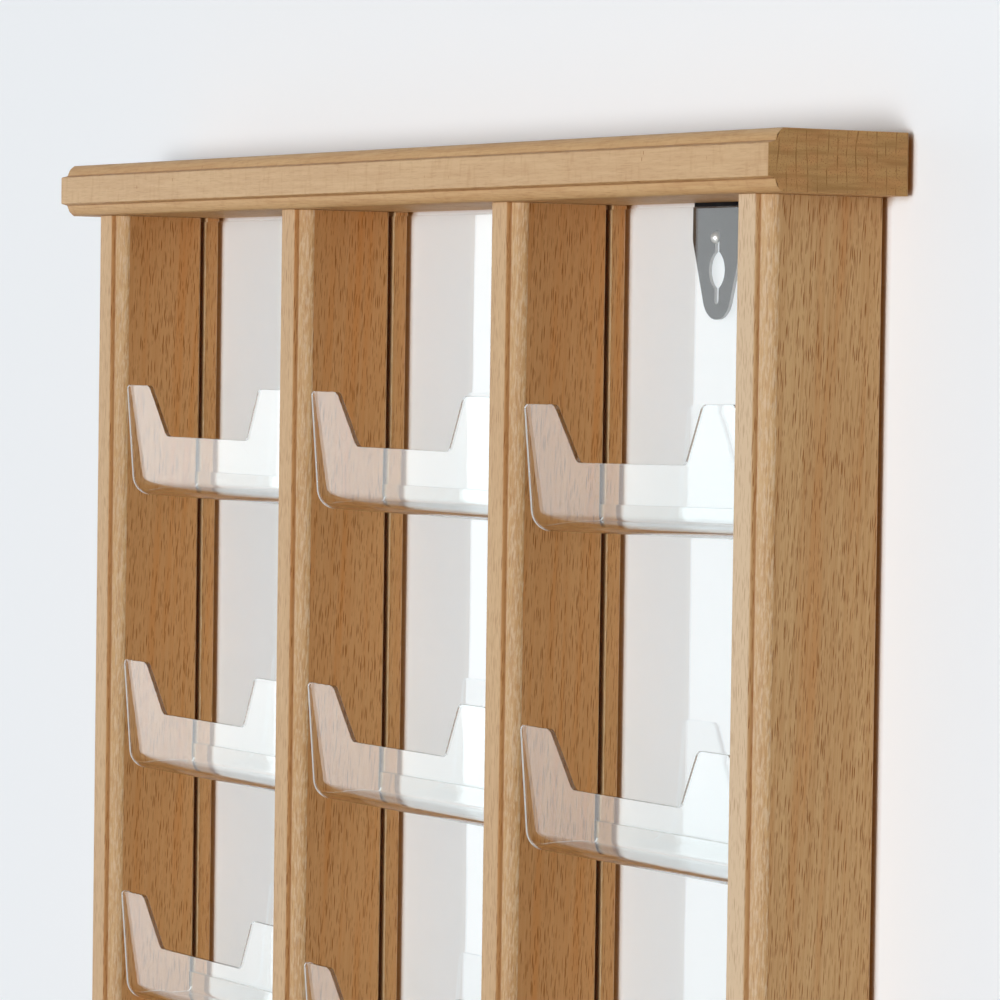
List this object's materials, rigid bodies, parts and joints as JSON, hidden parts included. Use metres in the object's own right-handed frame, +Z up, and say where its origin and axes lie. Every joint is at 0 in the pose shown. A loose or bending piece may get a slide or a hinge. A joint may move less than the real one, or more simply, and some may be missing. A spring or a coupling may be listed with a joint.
{
  "type": "index card holder",
  "caption": "Wall rack for index cards: moulded beech rails and posts hold clear back sheets and bent clear pockets that slide in grooves, and keyhole plates hang it on screws.",
  "frame": {"origin": "middle of the top rail's back face, in the plane of the wall", "axes": "+X to the right seen from the front, -Y to the front and away from the wall, +Z up"},
  "size_m": [0.5914, 0.0645, 0.705],
  "materials": {
    "beech": "clear satin lacquer",
    "clear_sheet": "clear and polished",
    "hanger_steel": "dark oiled steel",
    "screw_steel": "zinc plated",
    "dowel_wood": "raw beech"
  },
  "bodies": {
    "frame": {"top_rail": "beech", "bottom_rail": "beech", "post_1": "beech", "post_2": "beech", "post_3": "beech", "post_4": "beech", "back_sheet_1": "clear_sheet", "back_sheet_2": "clear_sheet", "back_sheet_3": "clear_sheet", "hanger_left": "hanger_steel", "hanger_right": "hanger_steel", "hanger_screws": "screw_steel", "top_dowels": "dowel_wood", "bottom_dowels": "dowel_wood"},
    "pocket_1_1": {"pocket_1_1": "clear_sheet"},
    "pocket_1_2": {"pocket_1_2": "clear_sheet"},
    "pocket_1_3": {"pocket_1_3": "clear_sheet"},
    "pocket_1_4": {"pocket_1_4": "clear_sheet"},
    "pocket_1_5": {"pocket_1_5": "clear_sheet"},
    "pocket_2_1": {"pocket_2_1": "clear_sheet"},
    "pocket_2_2": {"pocket_2_2": "clear_sheet"},
    "pocket_2_3": {"pocket_2_3": "clear_sheet"},
    "pocket_2_4": {"pocket_2_4": "clear_sheet"},
    "pocket_2_5": {"pocket_2_5": "clear_sheet"},
    "pocket_3_1": {"pocket_3_1": "clear_sheet"},
    "pocket_3_2": {"pocket_3_2": "clear_sheet"},
    "pocket_3_3": {"pocket_3_3": "clear_sheet"},
    "pocket_3_4": {"pocket_3_4": "clear_sheet"},
    "pocket_3_5": {"pocket_3_5": "clear_sheet"}
  },
  "joints": [
    {"name": "slide_1_1", "type": "slide", "parent": "frame", "child": "pocket_1_1", "axis": [0, 0, 1], "range_m": [-0.025, 0.025]},
    {"name": "slide_1_2", "type": "slide", "parent": "frame", "child": "pocket_1_2", "axis": [0, 0, 1], "range_m": [-0.025, 0.025]},
    {"name": "slide_1_3", "type": "slide", "parent": "frame", "child": "pocket_1_3", "axis": [0, 0, 1], "range_m": [-0.025, 0.025]},
    {"name": "slide_1_4", "type": "slide", "parent": "frame", "child": "pocket_1_4", "axis": [0, 0, 1], "range_m": [-0.025, 0.025]},
    {"name": "slide_1_5", "type": "slide", "parent": "frame", "child": "pocket_1_5", "axis": [0, 0, 1], "range_m": [-0.015, 0.025]},
    {"name": "slide_2_1", "type": "slide", "parent": "frame", "child": "pocket_2_1", "axis": [0, 0, 1], "range_m": [-0.025, 0.025]},
    {"name": "slide_2_2", "type": "slide", "parent": "frame", "child": "pocket_2_2", "axis": [0, 0, 1], "range_m": [-0.025, 0.025]},
    {"name": "slide_2_3", "type": "slide", "parent": "frame", "child": "pocket_2_3", "axis": [0, 0, 1], "range_m": [-0.025, 0.025]},
    {"name": "slide_2_4", "type": "slide", "parent": "frame", "child": "pocket_2_4", "axis": [0, 0, 1], "range_m": [-0.025, 0.025]},
    {"name": "slide_2_5", "type": "slide", "parent": "frame", "child": "pocket_2_5", "axis": [0, 0, 1], "range_m": [-0.015, 0.025]},
    {"name": "slide_3_1", "type": "slide", "parent": "frame", "child": "pocket_3_1", "axis": [0, 0, 1], "range_m": [-0.025, 0.025]},
    {"name": "slide_3_2", "type": "slide", "parent": "frame", "child": "pocket_3_2", "axis": [0, 0, 1], "range_m": [-0.025, 0.025]},
    {"name": "slide_3_3", "type": "slide", "parent": "frame", "child": "pocket_3_3", "axis": [0, 0, 1], "range_m": [-0.025, 0.025]},
    {"name": "slide_3_4", "type": "slide", "parent": "frame", "child": "pocket_3_4", "axis": [0, 0, 1], "range_m": [-0.025, 0.025]},
    {"name": "slide_3_5", "type": "slide", "parent": "frame", "child": "pocket_3_5", "axis": [0, 0, 1], "range_m": [-0.015, 0.025]}
  ]
}
